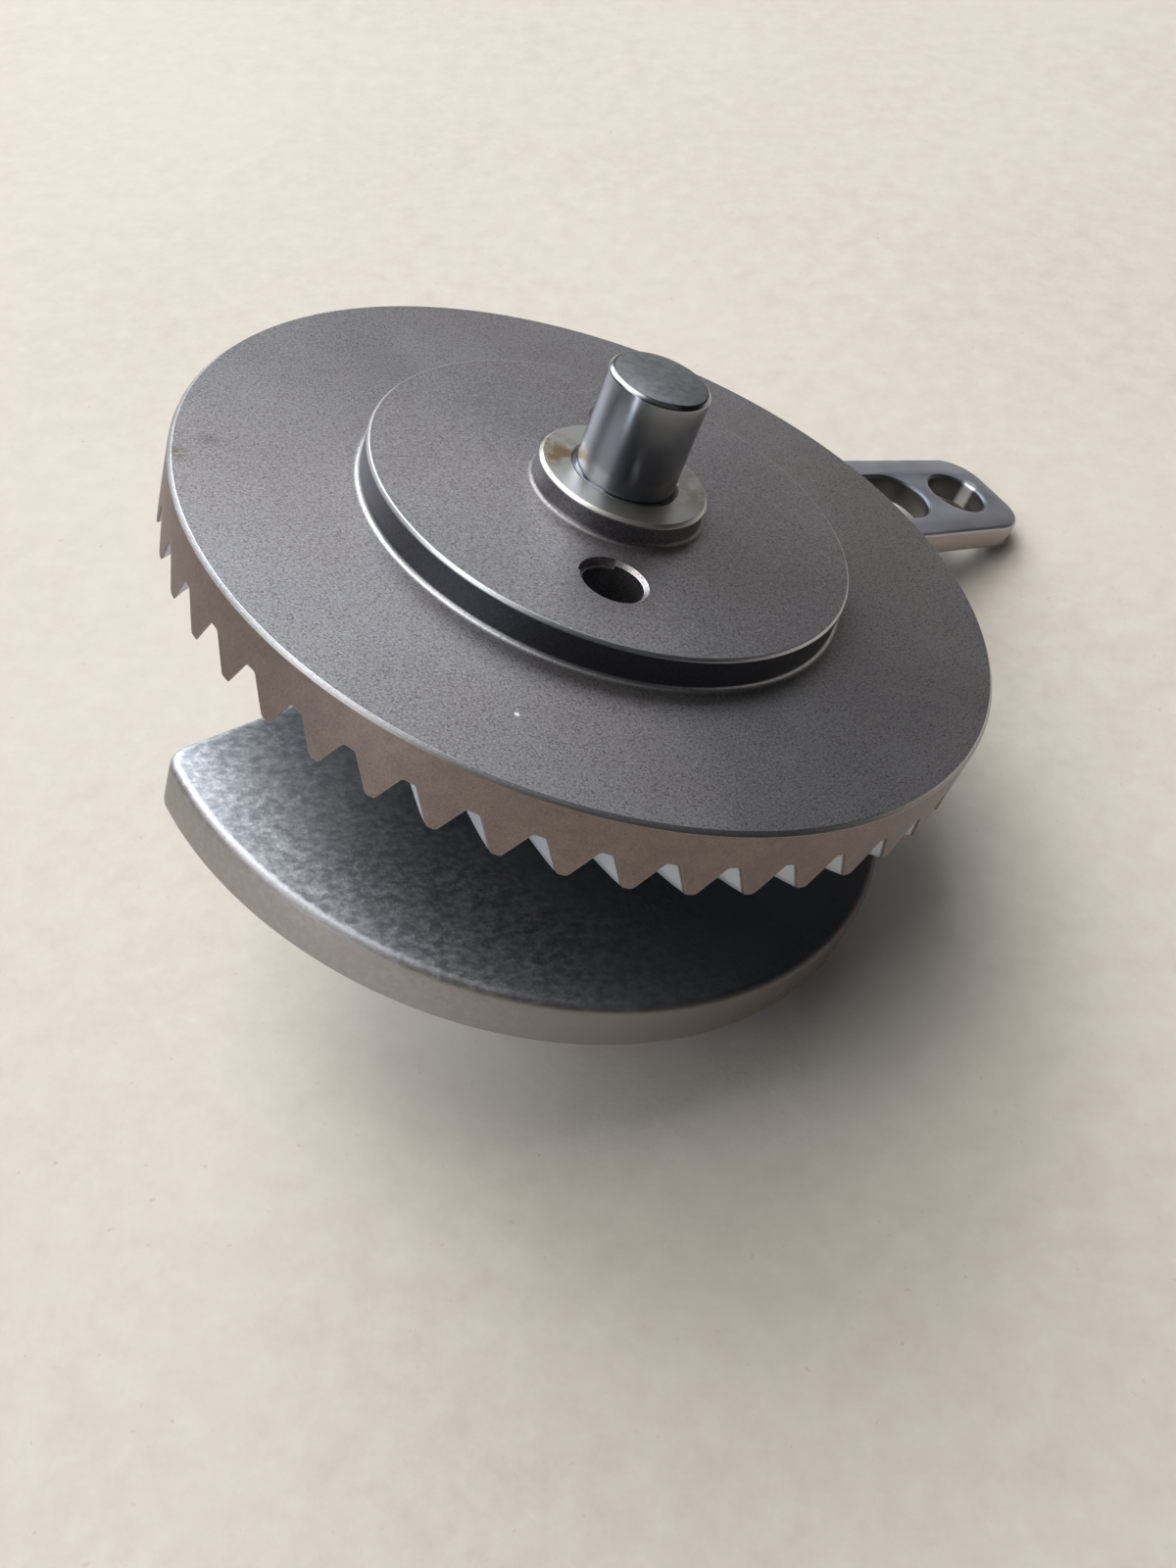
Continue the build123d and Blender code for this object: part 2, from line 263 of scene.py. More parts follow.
class Nodes:
    """A short way to build one procedural material."""

    def __init__(self, name):
        self.material = bpy.data.materials.new(name)
        self.material.use_nodes = True
        self.tree = self.material.node_tree
        self.shader = self.tree.nodes["Principled BSDF"]
        self.place = self.add("ShaderNodeTexCoord").outputs["Object"]

    def add(self, kind, **settings):
        node = self.tree.nodes.new(kind)
        for key, value in settings.items():
            setattr(node, key, value)
        return node

    def link(self, source, target):
        self.tree.links.new(source, target)

    def stretch(self, scale):
        """Object coordinates scaled unevenly, for streaks."""
        node = self.add("ShaderNodeMapping")
        node.inputs["Scale"].default_value = scale
        self.link(self.place, node.inputs["Vector"])
        return node.outputs["Vector"]

    def noise(self, scale, detail=4.0, rough=0.55, vector=None):
        node = self.add("ShaderNodeTexNoise")
        node.inputs["Scale"].default_value = scale
        node.inputs["Detail"].default_value = detail
        node.inputs["Roughness"].default_value = rough
        self.link(vector or self.place, node.inputs["Vector"])
        return node.outputs["Fac"]

    def ramp(self, source, low, high, bottom=0.0, top=1.0):
        node = self.add("ShaderNodeMapRange")
        node.inputs["From Min"].default_value = low
        node.inputs["From Max"].default_value = high
        node.inputs["To Min"].default_value = bottom
        node.inputs["To Max"].default_value = top
        self.link(source, node.inputs["Value"])
        return node.outputs["Result"]

    def maths(self, operation, first, second):
        node = self.add("ShaderNodeMath", operation=operation)
        for socket, value in zip(node.inputs, (first, second)):
            if isinstance(value, (int, float)):
                socket.default_value = value
            else:
                self.link(value, socket)
        return node.outputs["Value"]

    def mix(self, share, first, second):
        node = self.add("ShaderNodeMix", data_type="RGBA")
        self.link(share, node.inputs["Factor"])
        for socket, value in zip((node.inputs[6], node.inputs[7]), (first, second)):
            if isinstance(value, tuple):
                socket.default_value = (*value, 1)
            else:
                self.link(value, socket)
        return node.outputs[2]

    def edges(self, reach):
        """1 along convex and concave edges, 0 on open faces."""
        soft = self.add("ShaderNodeBevel", samples=6)
        soft.inputs["Radius"].default_value = reach
        sharp = self.add("ShaderNodeNewGeometry")
        dot = self.add("ShaderNodeVectorMath", operation="DOT_PRODUCT")
        self.link(soft.outputs["Normal"], dot.inputs[0])
        self.link(sharp.outputs["Normal"], dot.inputs[1])
        return self.ramp(dot.outputs["Value"], 0.995, 0.90)

    def radius_and_height(self):
        """Distance from the arbor axis and height, both in metres."""
        split = self.add("ShaderNodeSeparateXYZ")
        self.link(self.place, split.inputs["Vector"])
        x_squared = self.maths("POWER", split.outputs["X"], 2.0)
        y_squared = self.maths("POWER", split.outputs["Y"], 2.0)
        flat = self.maths("ADD", x_squared, y_squared)
        return self.maths("SQRT", flat, 0.5), split.outputs["Z"]

    def between(self, value, low, high, soft):
        """1 where a value lies between two limits, with soft ends."""
        rise = self.ramp(value, low - soft, low)
        fall = self.ramp(value, high, high + soft, 1.0, 0.0)
        return self.maths("MULTIPLY", rise, fall)

    def along(self, x, y):
        """How far a place lies along a level direction."""
        reach = self.add("ShaderNodeVectorMath", operation="DOT_PRODUCT")
        reach.inputs[1].default_value = (x, y, 0)
        self.link(self.place, reach.inputs[0])
        return reach.outputs["Value"]

    def near(self, x, y, reach, soft):
        """1 inside a circle round a vertical line."""
        flat = self.stretch((1.0, 1.0, 0.0))
        gap = self.add("ShaderNodeVectorMath", operation="DISTANCE")
        gap.inputs[1].default_value = (x, y, 0)
        self.link(flat, gap.inputs[0])
        return self.ramp(gap.outputs["Value"], reach, reach + soft, 1.0, 0.0)

    def bump(self, height, strength, distance, normal=None):
        node = self.add("ShaderNodeBump")
        node.inputs["Strength"].default_value = strength
        node.inputs["Distance"].default_value = distance
        self.link(height, node.inputs["Height"])
        if normal:
            self.link(normal, node.inputs["Normal"])
        return node.outputs["Normal"]

    def finish(self, colour, roughness, normal, metallic=1.0):
        self.link(colour, self.shader.inputs["Base Color"])
        self.link(roughness, self.shader.inputs["Roughness"])
        self.link(normal, self.shader.inputs["Normal"])
        self.shader.inputs["Metallic"].default_value = metallic
        return self.material


def gear_steel():
    """Fine blasted dark steel with a stained, polished collar and a few marks.

    The dark walls, the brown rim, the pale tooth flanks and the bright lines at the steps stand
    for reflections of the room and the paper.
    """
    m = Nodes("blasted_gear_steel")
    radius, height = m.radius_and_height()
    cloud = m.noise(60.0, 4.0)
    grain = m.noise(5600.0, 2.0, 0.6)
    speck = m.noise(4300.0, 2.0, 0.6)
    patina = m.noise(42.0, 4.0, 0.6)
    colour = m.mix(m.ramp(cloud, 0.35, 0.68), (0.340, 0.332, 0.355), (0.398, 0.390, 0.410))
    colour = m.mix(m.ramp(patina, 0.44, 0.62, 0.0, 0.5), colour, (0.365, 0.325, 0.312))
    pits = m.ramp(grain, 0.36, 0.50, 0.75, 0.0)
    colour = m.mix(pits, colour, (0.155, 0.135, 0.14))
    colour = m.mix(m.ramp(speck, 0.50, 0.68), colour, (0.48, 0.475, 0.50))
    on_collar = m.maths(
        "MULTIPLY",
        m.between(radius, 0.0, COLLAR_RADIUS, 0.1 * MM),
        m.ramp(height, -0.4 * MM, -0.3 * MM),
    )
    colour = m.mix(on_collar, colour, (0.62, 0.61, 0.59))
    blotch = m.ramp(m.noise(500.0, 4.0), 0.40, 0.58)
    stain = m.maths("MULTIPLY", m.near(OIL_STAIN.x, OIL_STAIN.y, 1.6 * MM, 2.2 * MM), blotch)
    stain = m.maths("MULTIPLY", stain, on_collar)
    colour = m.mix(m.maths("MULTIPLY", stain, 0.85), colour, (0.30, 0.19, 0.07))
    haze = m.maths("MULTIPLY", m.near(COLLAR_HAZE.x, COLLAR_HAZE.y, 2.0 * MM, 3.0 * MM), blotch)
    haze = m.maths("MULTIPLY", haze, on_collar)
    colour = m.mix(m.maths("MULTIPLY", haze, 0.55), colour, (0.26, 0.19, 0.14))
    on_rim = m.ramp(radius, gear_radius - 0.2 * MM, gear_radius - 0.15 * MM)
    brown = m.mix(m.ramp(m.along(0.9, 0.4), -25 * MM, 25 * MM), (0.205, 0.155, 0.135), (0.145, 0.108, 0.09))
    brown = m.mix(m.ramp(blotch, 0.0, 1.0, 0.0, 0.35), brown, (0.12, 0.09, 0.078))
    colour = m.mix(m.maths("MULTIPLY", on_rim, 0.8), colour, brown)
    flanks = m.maths(
        "MULTIPLY",
        m.between(radius, gear_radius - FACE_WIDTH, gear_radius - 0.3 * MM, 0.1 * MM),
        m.ramp(height, tip_z + TOOTH_DEPTH * 0.9, tip_z + TOOTH_DEPTH, 1.0, 0.0),
    )
    colour = m.mix(flanks, colour, (0.66, 0.70, 0.76))
    on_back = m.ramp(height, back_z - 0.3 * MM, back_z - 0.2 * MM)
    rust = m.maths(
        "MULTIPLY",
        m.near(RUST_SPOT.x, RUST_SPOT.y, 0.4 * MM, 1.0 * MM),
        m.ramp(m.noise(1800.0, 2.0), 0.42, 0.56),
    )
    colour = m.mix(m.maths("MULTIPLY", m.maths("MULTIPLY", rust, on_back), 0.8), colour, (0.21, 0.165, 0.10))
    smear = m.maths("MULTIPLY", m.near(SMEAR.x, SMEAR.y, 0.1 * MM, 1.2 * MM), on_back)
    colour = m.mix(m.maths("MULTIPLY", smear, 0.5), colour, (0.15, 0.15, 0.16))
    nick = m.maths("MULTIPLY", m.near(BRIGHT_NICK.x, BRIGHT_NICK.y, 0.16 * MM, 0.12 * MM), on_back)
    colour = m.mix(nick, colour, (1.0, 1.0, 1.0))
    boss_wall = m.maths(
        "MULTIPLY",
        m.between(radius, BOSS_RADIUS - 0.1 * MM, BOSS_RADIUS + 0.35 * MM, 0.1 * MM),
        m.between(height, back_z + 0.45 * MM, boss_z - 0.42 * MM, 0.2 * MM),
    )
    collar_wall = m.maths(
        "MULTIPLY",
        m.between(radius, COLLAR_RADIUS - 0.1 * MM, COLLAR_RADIUS + 0.3 * MM, 0.1 * MM),
        m.between(height, boss_z + 0.2 * MM, -0.5 * MM, 0.25 * MM),
    )
    hole_x = hole_circle * math.cos(HOLE_ANGLE)
    hole_y = hole_circle * math.sin(HOLE_ANGLE)
    holes = m.maths(
        "MAXIMUM",
        m.near(hole_x, hole_y, hole_radius, 0.04 * MM),
        m.near(-hole_x, -hole_y, hole_radius, 0.04 * MM),
    )
    # Painted reflection and shade: darker boss and collar walls, and darker walls in the two holes.
    dark = m.maths("MAXIMUM", m.maths("MULTIPLY", boss_wall, 0.85), m.maths("MULTIPLY", collar_wall, 0.6))
    dark = m.maths("MAXIMUM", dark, m.maths("MULTIPLY", holes, 0.4))
    colour = m.mix(dark, colour, (0.045, 0.05, 0.065))
    # Lighter edges: partly edge wear, partly painted highlight.
    worn_edge_highlight = m.maths(
        "MULTIPLY",
        m.edges(0.16 * MM),
        m.ramp(height, back_z - 0.8 * MM, back_z - 0.6 * MM, 0.25, 1.0),
    )
    rim_cut = m.maths(
        "MULTIPLY",
        m.ramp(radius, gear_radius - 0.40 * MM, gear_radius - 0.34 * MM),
        m.between(height, back_z - 0.34 * MM, back_z + 0.1 * MM, 0.05 * MM),
    )
    boss_cut = m.maths(
        "MULTIPLY",
        m.between(radius, BOSS_RADIUS - 0.26 * MM, BOSS_RADIUS + 0.1 * MM, 0.05 * MM),
        m.between(height, boss_z - 0.34 * MM, boss_z + 0.1 * MM, 0.05 * MM),
    )
    boss_foot = m.maths(
        "MULTIPLY",
        m.between(radius, BOSS_RADIUS + 0.04 * MM, BOSS_RADIUS + 0.5 * MM, 0.05 * MM),
        m.between(height, back_z, back_z + 0.36 * MM, 0.05 * MM),
    )
    bright = m.maths("MAXIMUM", m.maths("MULTIPLY", worn_edge_highlight, 0.75), m.maths("MULTIPLY", rim_cut, 0.32))
    bright = m.maths("MAXIMUM", bright, m.maths("MULTIPLY", boss_cut, 0.6))
    bright = m.maths("MAXIMUM", bright, m.maths("MULTIPLY", boss_foot, 0.25))
    colour = m.mix(bright, colour, (0.74, 0.78, 0.82))
    rough = m.ramp(cloud, 0.3, 0.7, 0.42, 0.46)
    rough = m.maths("SUBTRACT", rough, m.maths("MULTIPLY", on_collar, 0.06))
    rough = m.maths("SUBTRACT", rough, m.maths("MULTIPLY", bright, 0.12))
    rough = m.maths("ADD", rough, m.maths("MULTIPLY", nick, 0.25))
    normal = m.bump(grain, 0.4, 0.03 * MM)
    normal = m.bump(speck, 0.4, 0.03 * MM, normal)
    return m.finish(colour, rough, normal)


def pin_steel():
    """Ground and polished dowel steel with faint rings round it and duller ends."""
    m = Nodes("polished_pin_steel")
    radius = m.radius_and_height()[0]
    rings = m.noise(600.0, 3.0, 0.6, m.stretch((0.10, 0.10, 3.0)))
    haze = m.noise(300.0, 3.0)
    spots = m.noise(1400.0, 3.0)
    colour = m.mix(m.ramp(haze, 0.35, 0.7), (0.255, 0.27, 0.295), (0.325, 0.34, 0.365))
    end = m.ramp(radius, journal_radius - 0.55 * MM, journal_radius - 0.35 * MM, 1.0, 0.0)
    colour = m.mix(m.maths("MULTIPLY", end, m.ramp(spots, 0.35, 0.65, 0.2, 0.9)), colour, (0.47, 0.49, 0.52))
    # Lighter edges: partly edge wear, partly painted highlight.
    worn_edge_highlight = m.edges(0.12 * MM)
    colour = m.mix(m.maths("MULTIPLY", worn_edge_highlight, 0.6), colour, (0.70, 0.72, 0.76))
    rough = m.ramp(haze, 0.3, 0.7, 0.20, 0.25)
    rough = m.maths("ADD", rough, m.maths("MULTIPLY", end, 0.14))
    normal = m.bump(rings, 0.05, 0.01 * MM)
    return m.finish(colour, rough, normal)


def tumbled_steel():
    """Tumbled counterweight steel: scuffed in short strokes, with lighter edges from edge wear and painted
    highlight, and a brown rim that is a painted reflection of the paper.

    It is bright at one end and nearly black past it, which stands for what the plate reflects.
    """
    m = Nodes("tumbled_plate_steel")
    cloud = m.noise(140.0, 4.0)
    mottle = m.noise(1000.0, 6.0, 0.75)
    dents = m.noise(2600.0, 4.0, 0.65)
    strokes = m.noise(1250.0, 5.0, 0.7, m.stretch((0.85, 1.2, 1.0)))
    across = m.noise(2300.0, 4.0, 0.7, m.stretch((1.2, 0.9, 1.0)))
    patch = m.maths("MULTIPLY", m.ramp(strokes, 0.40, 0.62), m.ramp(across, 0.38, 0.62, 0.5, 1.0))
    colour = m.mix(patch, (0.50, 0.54, 0.59), (0.90, 0.94, 1.0))
    colour = m.mix(m.maths("MULTIPLY", m.ramp(cloud, 0.40, 0.65), 0.3), colour, (0.72, 0.75, 0.79))
    # Painted reflection and shade: the plate is bright towards one end and nearly black past it.
    lit_end_share = m.ramp(m.along(-0.95, -0.30), 2 * MM, 36 * MM)
    painted_dark_share = m.maths("SUBTRACT", 0.96, m.maths("MULTIPLY", lit_end_share, lit_end_share))
    colour = m.mix(m.maths("MAXIMUM", painted_dark_share, 0.0), colour, (0.045, 0.052, 0.07))
    radius = m.radius_and_height()[0]
    # Painted reflection of the paper on the rim, darker towards one side as painted shade.
    on_side = m.ramp(radius, PLATE_RADIUS - 0.7 * MM, PLATE_RADIUS - 0.1 * MM, 0.0, 0.7)
    brown = m.mix(m.ramp(m.along(1.0, -0.3), 0, 32 * MM), (0.30, 0.255, 0.23), (0.15, 0.122, 0.105))
    colour = m.mix(on_side, colour, brown)
    # Lighter edges: partly edge wear, partly painted highlight.
    worn_edge_highlight = m.edges(0.3 * MM)
    colour = m.mix(m.maths("MULTIPLY", worn_edge_highlight, 0.6), colour, (0.82, 0.85, 0.89))
    rough = m.ramp(patch, 0.0, 1.0, 0.46, 0.62)
    normal = m.bump(mottle, 0.5, 0.08 * MM)
    normal = m.bump(dents, 0.4, 0.05 * MM, normal)
    return m.finish(colour, rough, normal)


def rod_steel():
    """Satin bluish connecting rod steel.

    The brown outer walls, the dark window and eye and the glint stand for reflections.
    """
    m = Nodes("satin_rod_steel")
    cloud = m.noise(150.0, 5.0)
    grain = m.noise(3800.0, 3.0, 0.65)
    colour = m.mix(m.ramp(cloud, 0.35, 0.7), (0.46, 0.48, 0.565), (0.57, 0.59, 0.69))
    # Lighter edges: partly edge wear, partly painted highlight.
    worn_edge_highlight = m.edges(0.3 * MM)
    colour = m.mix(m.maths("MULTIPLY", worn_edge_highlight, 0.85), colour, (0.78, 0.80, 0.84))
    split = m.add("ShaderNodeSeparateXYZ")
    m.link(m.place, split.inputs["Vector"])
    walls = m.between(split.outputs["Z"], shank_low + 0.3 * MM, shank_high - 0.45 * MM, 0.15 * MM)
    colour = m.mix(m.maths("MULTIPLY", walls, 0.8), colour, (0.36, 0.30, 0.25))
    level = m.maths("ABSOLUTE", m.maths("SUBTRACT", split.outputs["Y"], crank_y), 0.0)
    window = m.maths(
        "MULTIPLY",
        m.ramp(level, WINDOW_HALF + 0.25 * MM, WINDOW_HALF + 0.35 * MM, 1.0, 0.0),
        m.between(split.outputs["X"], WINDOW_START, window_end, 0.1 * MM),
    )
    window = m.maths("MAXIMUM", window, m.near(window_end, crank_y, WINDOW_HALF + 0.25 * MM, 0.1 * MM))
    window = m.maths("MAXIMUM", window, m.near(WINDOW_START, crank_y, WINDOW_HALF + 0.25 * MM, 0.1 * MM))
    mouth = m.near(eye.x, eye.y, eye_radius + 0.25 * MM, 0.1 * MM)
    colour = m.mix(m.maths("MULTIPLY", m.maths("MAXIMUM", window, mouth), 0.8), colour, (0.07, 0.075, 0.085))
    glint = m.near(eye.x + GLINT.x, eye.y + GLINT.y, 0.7 * MM, 0.5 * MM)
    colour = m.mix(glint, colour, (0.95, 0.97, 1.0))
    rough = m.ramp(cloud, 0.3, 0.7, 0.38, 0.48)
    normal = m.bump(grain, 0.22, 0.03 * MM)
    return m.finish(colour, rough, normal)


def ground_steel(name, light, dark, smooth):
    """Ground bearing and washer steel."""
    m = Nodes(name)
    haze = m.noise(500.0, 4.0)
    grain = m.noise(4200.0, 2.0, 0.6)
    colour = m.mix(m.ramp(haze, 0.35, 0.7), dark, light)
    # Lighter edges: partly edge wear, partly painted highlight.
    worn_edge_highlight = m.edges(0.12 * MM)
    colour = m.mix(m.maths("MULTIPLY", worn_edge_highlight, 0.5), colour, (0.8, 0.8, 0.82))
    rough = m.ramp(haze, 0.3, 0.7, smooth, smooth + 0.12)
    normal = m.bump(grain, 0.10, 0.02 * MM)
    return m.finish(colour, rough, normal)


def kraft_paper():
    """Pale sized paper: faint fibres, flecks and soft mottling."""
    m = Nodes("pale_paper")
    cloud = m.noise(16.0, 5.0)
    fibre = m.noise(260.0, 5.0, 0.7)
    fleck = m.noise(900.0, 2.0, 0.5)
    colour = m.mix(m.ramp(cloud, 0.3, 0.7), (0.65, 0.586, 0.512), (0.718, 0.654, 0.582))
    colour = m.mix(m.ramp(fibre, 0.30, 0.75), colour, (0.775, 0.715, 0.635))
    colour = m.mix(m.maths("MULTIPLY", m.ramp(fleck, 0.70, 0.80), 0.5), colour, (0.50, 0.42, 0.33))
    rough = m.ramp(fibre, 0.3, 0.7, 0.62, 0.78)
    normal = m.bump(fibre, 0.5, 0.16 * MM)
    return m.finish(colour, rough, normal, 0.0)


steel = {
    "gear": gear_steel(),
    "pin": pin_steel(),
    "plate": tumbled_steel(),
    "rod": rod_steel(),
    "bearing": ground_steel("ground_bearing_steel", (0.66, 0.66, 0.67), (0.52, 0.52, 0.53), 0.20),
    "washer": ground_steel("ground_washer_steel", (0.55, 0.55, 0.56), (0.40, 0.40, 0.41), 0.30),
    "cage": ground_steel("pressed_cage_steel", (0.50, 0.47, 0.42), (0.36, 0.34, 0.31), 0.35),
}


def dress(piece, material, body, slot, *replaced):
    """Gives a piece its finish and its body, and hides any CAD nodes it replaces."""
    piece.data.materials.clear()
    piece.data.materials.append(steel[material])
    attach(piece, body)
    if replaced:
        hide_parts(*replaced)


# ================= the crown gear =================

def tooth_lift(phase, radius):
    """Height of the toothed face above the tips, at a phase of 0 to 1 round one pitch."""
    share = (gear_radius - radius) / FACE_WIDTH
    depth = TOOTH_DEPTH * (1 - (1 - INNER_DEPTH) * share)
    offset = min(phase, 1 - phase)
    flank = (offset - TIP_SHARE) / (0.5 - ROOT_SHARE - TIP_SHARE)
    return depth * min(1.0, max(0.0, flank))


def tooth_samples():
    """Azimuth samples round the gear, denser at each tooth's corners."""
    tip_corner = [TIP_SHARE * 0.75, TIP_SHARE * 1.2]
    root_corner = [0.5 - ROOT_SHARE * 1.15, 0.5 - ROOT_SHARE * 0.8]
    half = [0.0] + tip_corner + [0.16, 0.24, 0.32] + root_corner
    phases = half + [0.5] + [1 - phase for phase in reversed(half[1:])]
    return [
        (phase, TOOTH_PHASE + 2 * math.pi * (tooth + phase) / TOOTH_COUNT)
        for tooth in range(TOOTH_COUNT)
        for phase in phases
    ]


def tooth_ring(samples, radius, lift=0.0, pull=0.0):
    """One ring on the toothed face, twisted along the spiral."""
    twist = -SPIRAL * math.log(gear_radius / radius)
    place = radius - pull
    return [
        (
            place * math.cos(azimuth + twist),
            place * math.sin(azimuth + twist),
            tip_z + tooth_lift(phase, radius) + lift,
        )
        for phase, azimuth in samples
    ]


def plain_ring(samples, radius, z):
    return [(radius * math.cos(azimuth), radius * math.sin(azimuth), z) for phase, azimuth in samples]


def make_gear():
    samples = tooth_samples()
    inner = gear_radius - FACE_WIDTH
    back = rounded([
        (seat_radius, hub_z + 0.2 * MM, 0),
        (seat_radius, -0.25 * MM, 0),
        (seat_radius + 0.25 * MM, 0, 0.08 * MM),
        (COLLAR_RADIUS - 0.3 * MM, 0, 0.12 * MM),
        (COLLAR_RADIUS, -0.3 * MM, 0.12 * MM),
        (COLLAR_RADIUS, boss_z, 0.55 * MM),
        (BOSS_RADIUS - 0.2 * MM, boss_z, 0.15 * MM),
        (BOSS_RADIUS, boss_z - 0.28 * MM, 0.15 * MM),
        (BOSS_RADIUS, back_z, 0.5 * MM),
        (gear_radius - 0.36 * MM, back_z, 0.1 * MM),
        (gear_radius, back_z - 0.36 * MM, 0.1 * MM),
        (gear_radius, tip_z, 0),
    ])[:-1]
    rings = [plain_ring(samples, point.x, point.y) for point in back]
    rings.append(tooth_ring(samples, gear_radius, 0.14 * MM))
    rings.append(tooth_ring(samples, gear_radius, 0.0, 0.10 * MM))
    rows = 9
    for row in range(1, rows + 1):
        rings.append(tooth_ring(samples, gear_radius - FACE_WIDTH * row / rows))
    twist = -SPIRAL * math.log(gear_radius / inner)
    under = rounded([
        (inner, tip_z, 0),
        (inner, web_z, 0.5 * MM),
        (HUB_RADIUS, web_z, 0.5 * MM),
        (HUB_RADIUS, hub_z, 0.3 * MM),
        (seat_radius, hub_z, 0.2 * MM),
        (seat_radius, 0, 0),
    ])[1:-1]
    turned = [(phase, azimuth + twist) for phase, azimuth in samples]
    rings += [plain_ring(turned, point.x, point.y) for point in under]
    rings[-1] = plain_ring(samples, seat_radius, hub_z + 0.1 * MM)
    gear = mesh_from_rings("crown_gear", rings, True, 28)
    cut(gear, hole_cutters(), 28)
    return gear


def hole_cutters():
    """Two chamfered through holes, a step at one mouth, and the crank pin's seat."""
    flare = 0.35 * MM
    cutters = []
    for index in range(2):
        angle = HOLE_ANGLE + math.pi * index
        centre = (hole_circle * math.cos(angle), hole_circle * math.sin(angle))
        outline = [
            (CUTTER_CORE, hub_z - CUTTER_REACH, 0),
            (hole_radius, hub_z - CUTTER_REACH, 0),
            (hole_radius, boss_z - flare, 0),
            (hole_radius + flare * 2, boss_z + flare, 0),
            (CUTTER_CORE, boss_z + flare, 0),
        ]
        cutters.append(lathe("hole_cutter", outline, centre, 72, closed=False))
    angle = HOLE_ANGLE + math.pi
    centre = Vector((hole_circle * math.cos(angle), hole_circle * math.sin(angle)))
    cutters.append(notch_cutter(centre, angle + NOTCH_TURN))
    depth = crank_high.z - hub_z
    seat = [
        (CUTTER_CORE, hub_z - CUTTER_REACH, 0),
        (journal_radius, hub_z - CUTTER_REACH, 0),
        (journal_radius, hub_z + depth, 0),
        (CUTTER_CORE, hub_z + depth, 0),
    ]
    cutters.append(lathe("seat_cutter", seat, (0, crank_y), 72, closed=False))
    return cutters


def notch_cutter(centre, start):
    """A shallow step over a quarter of the hole's mouth."""
    reach = hole_radius + 0.5 * MM
    arc = [start + math.radians(90) * step / 16 for step in range(17)]
    loop = [centre + reach * Vector((math.cos(a), math.sin(a))) for a in arc] + [centre]
    levels = (boss_z - NOTCH_DEPTH, boss_z + CUTTER_REACH)
    rings = [[(point.x, point.y, z) for point in loop] for z in levels]
    return mesh_from_rings("notch_cutter", rings, closed=False)


# ================= pins, washers and bearing =================

def make_pin(name, node, radius, x, y, tip_up, seat=None, shoulder=None):
    """A dowel with a rolled edge and a slightly domed end, on a larger seat if it has one."""
    low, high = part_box(node)
    free, held = (high.z, low.z) if tip_up else (low.z, high.z)
    sign = 1 if tip_up else -1
    outline = [(CORE, held, 0), (seat or radius, held, 0.2 * MM)]
    if seat:
        outline += [(seat, shoulder, 0.02 * MM), (radius, shoulder, 0)]
    outline += [
        (radius, free - sign * (PIN_CHAMFER + PIN_DOME), 0.25 * MM),
        (radius - PIN_CHAMFER, free - sign * PIN_DOME, 0.25 * MM),
        (radius * 0.55, free - sign * PIN_DOME * 0.35, 0),
        (CORE, free, 0),
    ]
    return lathe(name, outline, (x, y), 128, closed=False, sharp=24)


def make_ring(name, node, inner, corner=0.12):
    """A turned ring of a CAD node's size, with broken edges."""
    low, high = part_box(node)
    outer = (high.x - low.x) / 2
    middle = (low + high) / 2
    edge = corner * MM
    outline = [
        (inner, low.z, edge),
        (outer, low.z, edge),
        (outer, high.z, edge),
        (inner, high.z, edge),
    ]
    return lathe(name, outline, (middle.x, middle.y), 144)


def make_cup():
    """Drawn cup with a curled lip at each end."""
    low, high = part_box("needle_bearing_cup")
    outer = (high.x - low.x) / 2
    track = outer - 1.15 * MM
    lip = 0.9 * MM
    mouth = 6.95 * MM
    outline = [
        (outer, low.z, 0.5 * MM),
        (outer, high.z, 0.5 * MM),
        (mouth, high.z, 0.3 * MM),
        (mouth, high.z - lip, 0.2 * MM),
        (track, high.z - lip, 0.1 * MM),
        (track, low.z + lip, 0.1 * MM),
        (mouth, low.z + lip, 0.2 * MM),
        (mouth, low.z, 0.3 * MM),
    ]
    return lathe("bearing_shell", outline, (0, crank_y), 144)


def make_roller(index):
    node = f"needle_roller_{index:02d}"
    low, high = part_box(node)
    middle = (low + high) / 2
    radius = (high.x - low.x) / 2
    outline = [
        (CORE, low.z, 0),
        (radius, low.z, 0.35 * MM),
        (radius, high.z, 0.35 * MM),
        (CORE, high.z, 0),
    ]
    piece = lathe(f"roller_{index:02d}_skin", outline, (middle.x, middle.y), 48, closed=False)
    dress(piece, "bearing", f"roller_{index:02d}", "bearing_steel", node)


# ================= counterweight and connecting rod =================

